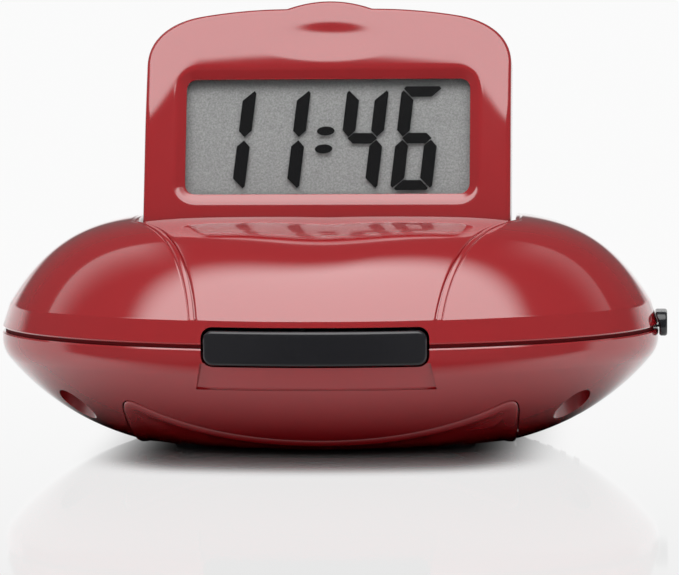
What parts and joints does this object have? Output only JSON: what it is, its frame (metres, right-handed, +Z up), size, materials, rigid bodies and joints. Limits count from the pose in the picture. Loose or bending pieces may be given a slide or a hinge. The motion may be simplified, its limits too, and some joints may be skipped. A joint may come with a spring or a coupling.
{
  "type": "digital alarm clock",
  "caption": "Portable digital alarm clock: oval red body on a rounded base, fold-back LCD panel, wide black snooze bar, slide knob at the end, battery cover below.",
  "frame": {"origin": "on the table, under the middle of the oval body", "axes": "+Z up, the display and the snooze bar face -Y, +X towards the knob at the right-hand end"},
  "size_m": [0.1394, 0.0896, 0.0911],
  "materials": {
    "red_plastic": "polished deep red ABS",
    "black_plastic": "satin black ABS",
    "clear_window": "clear polished acrylic",
    "lcd": "grey liquid crystal cell with dark segments",
    "white_plastic": "white diffuser",
    "circuit_board": "green solder mask",
    "steel": "zinc plated",
    "brass": "plain brass",
    "rubber": "matt black",
    "cell_jacket": "plain coloured foil jacket"
  },
  "bodies": {
    "case": {"upper_shell": "red_plastic", "lower_shell": "red_plastic", "case_screw_front_left": "steel", "case_screw_front_right": "steel", "case_screw_rear_left": "steel", "case_screw_rear_right": "steel", "battery_1": "cell_jacket", "battery_2": "cell_jacket", "battery_3": "cell_jacket", "battery_4": "cell_jacket", "contact_plate_1": "brass", "contact_plate_2": "brass", "contact_plate_3": "brass", "contact_plate_4": "brass", "contact_spring_1": "steel", "contact_spring_2": "steel", "contact_spring_3": "steel", "contact_spring_4": "steel", "main_board": "circuit_board", "clock_chip": "black_plastic", "snooze_switch": "black_plastic", "mode_switch": "steel", "alarm_speaker": "black_plastic", "set_board": "circuit_board", "set_switch_time": "black_plastic", "set_switch_alarm": "black_plastic", "set_switch_hour": "black_plastic", "set_switch_minute": "black_plastic", "shaker_motor": "steel", "motor_cradle": "black_plastic", "motor_strap": "steel", "display_lead": "rubber"},
    "display": {"display_bezel": "red_plastic", "display_rear_cover": "red_plastic", "display_window": "clear_window", "lcd_glass": "lcd", "lcd_backlight": "white_plastic", "display_board": "circuit_board", "hinge_pin_left": "steel", "hinge_pin_right": "steel", "display_screw_lower_left": "steel", "display_screw_lower_right": "steel", "display_screw_upper_left": "steel", "display_screw_upper_right": "steel"},
    "snooze": {"snooze_bar": "black_plastic"},
    "knob": {"mode_knob": "black_plastic"},
    "time_key": {"set_button_time": "black_plastic"},
    "alarm_key": {"set_button_alarm": "black_plastic"},
    "hour_key": {"set_button_hour": "black_plastic"},
    "minute_key": {"set_button_minute": "black_plastic"},
    "rotor": {"motor_shaft": "steel", "shaker_weight": "brass"},
    "cover": {"battery_cover": "red_plastic", "foot_front_left": "rubber", "foot_front_right": "rubber", "foot_rear_left": "rubber", "foot_rear_right": "rubber"}
  },
  "joints": [
    {"name": "display_fold", "type": "hinge", "parent": "case", "child": "display", "pos_m": [0, -0.005, 0.042], "axis": [-1, 0, 0], "range_deg": [0, 81]},
    {"name": "snooze_press", "type": "slide", "parent": "case", "child": "snooze", "axis": [0, 1, 0], "range_m": [0, 0.0012], "stiffness_N_per_m": 800, "springref_m": -0.0005},
    {"name": "knob_slide", "type": "slide", "parent": "case", "child": "knob", "axis": [0, 1, 0], "range_m": [-0.0025, 0.0025]},
    {"name": "time_press", "type": "slide", "parent": "case", "child": "time_key", "axis": [0, -1, 0], "range_m": [0, 0.0006], "stiffness_N_per_m": 1000, "springref_m": -0.0005},
    {"name": "alarm_press", "type": "slide", "parent": "case", "child": "alarm_key", "axis": [0, -1, 0], "range_m": [0, 0.0006], "stiffness_N_per_m": 1000, "springref_m": -0.0005},
    {"name": "hour_press", "type": "slide", "parent": "case", "child": "hour_key", "axis": [0, -1, 0], "range_m": [0, 0.0006], "stiffness_N_per_m": 1000, "springref_m": -0.0005},
    {"name": "minute_press", "type": "slide", "parent": "case", "child": "minute_key", "axis": [0, -1, 0], "range_m": [0, 0.0006], "stiffness_N_per_m": 1000, "springref_m": -0.0005},
    {"name": "rotor_spin", "type": "hinge", "parent": "case", "child": "rotor", "pos_m": [-0.046, -0.0077, 0.024], "axis": [0, 1, 0], "continuous": true},
    {"name": "cover_off", "type": "slide", "parent": "case", "child": "cover", "axis": [0, 0, -1], "range_m": [0, 0.02]}
  ]
}
